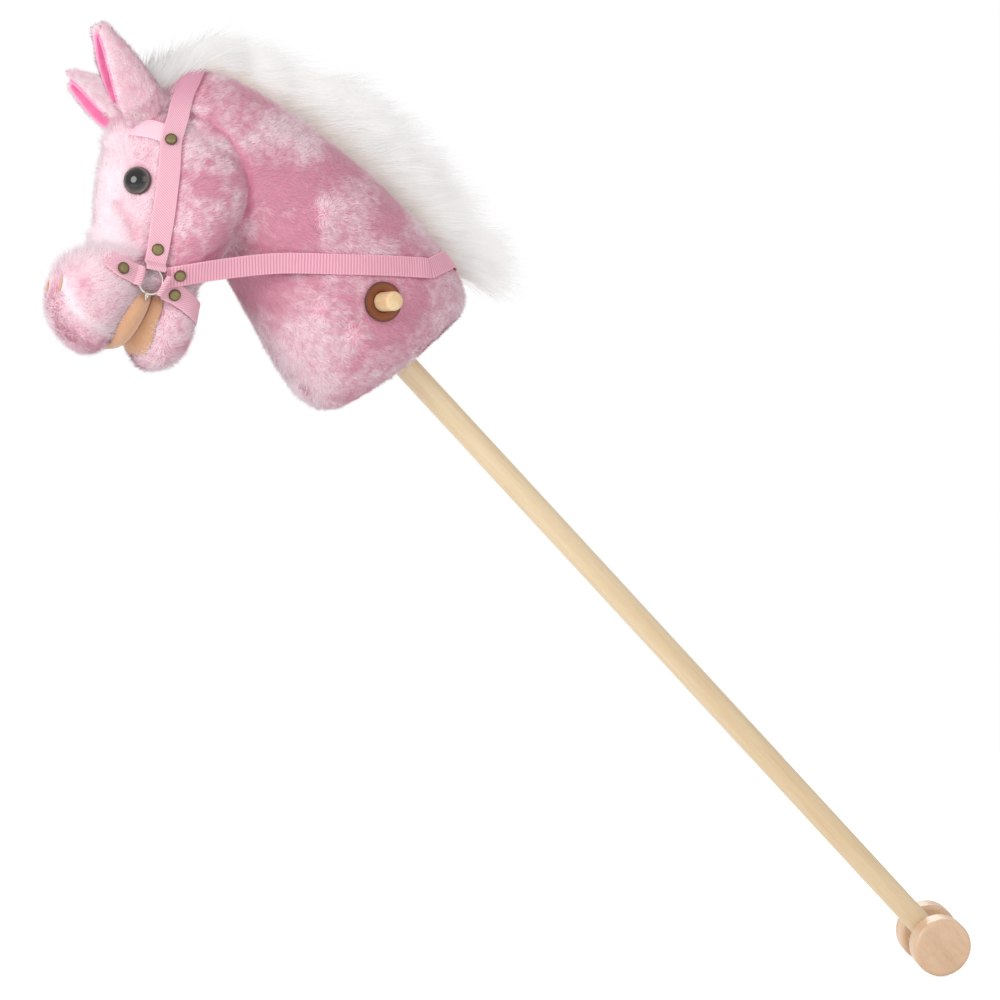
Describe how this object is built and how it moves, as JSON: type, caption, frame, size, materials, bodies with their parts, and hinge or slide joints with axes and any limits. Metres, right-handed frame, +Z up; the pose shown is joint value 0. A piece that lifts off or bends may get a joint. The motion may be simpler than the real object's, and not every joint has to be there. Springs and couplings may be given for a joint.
{
  "type": "hobby horse",
  "caption": "Riding stick toy with a stuffed plush horse head, webbing bridle, cross handle and a pair of wheels.",
  "frame": {"origin": "where the cross handle's axis meets the stick's axis", "axes": "+Z up as the toy is ridden, the muzzle towards -X, the horse's left side towards -Y"},
  "size_m": [0.7478, 0.1553, 0.6877],
  "materials": {
    "pine": "satin, clear finish",
    "beech": "satin, clear finish",
    "plush": "short pink pile",
    "suede": "smooth suede cloth",
    "satin": "satin",
    "long_fur": "long white pile",
    "webbing": "woven tape",
    "eye": "high gloss",
    "washer": "as moulded",
    "leather": "smooth",
    "ring_steel": "bright",
    "antique_brass": "antique"
  },
  "bodies": {
    "horse": {"stick": "pine", "handle_left": "pine", "handle_right": "pine", "neck": "plush", "head": "plush", "muzzle": "plush", "chin": "plush", "ear_left": "plush", "ear_right": "plush", "upper_lip_lining": "suede", "lower_lip_lining": "suede", "nostril_left": "suede", "nostril_right": "suede", "ear_lining_left": "satin", "ear_lining_right": "satin", "eye_left": "eye", "eye_right": "eye", "eye_washer_left": "washer", "eye_washer_right": "washer", "grip_disc_left": "leather", "grip_disc_right": "leather", "mane": "long_fur", "headpiece": "webbing", "browband": "webbing", "noseband": "webbing", "chin_strap": "webbing", "rein_left": "webbing", "rein_right": "webbing", "rein_tab": "webbing", "bit_ring_left": "ring_steel", "bit_ring_right": "ring_steel", "bit_link_left": "ring_steel", "bit_link_right": "ring_steel", "rivet_cheek_left": "antique_brass", "rivet_cheek_right": "antique_brass", "rivet_brow_left": "antique_brass", "rivet_brow_right": "antique_brass", "rivet_nose_left": "antique_brass", "rivet_nose_right": "antique_brass", "rivet_rein_left": "antique_brass", "rivet_rein_right": "antique_brass", "rivet_chin_left": "antique_brass", "rivet_chin_right": "antique_brass"},
    "wheelset": {"axle": "pine", "wheel_left": "beech", "wheel_right": "beech"}
  },
  "joints": [
    {"name": "wheel_spin", "type": "hinge", "parent": "horse", "child": "wheelset", "pos_m": [0.48511, 0, -0.46358], "axis": [-0.2363, -0.9397, -0.2473], "continuous": true}
  ]
}
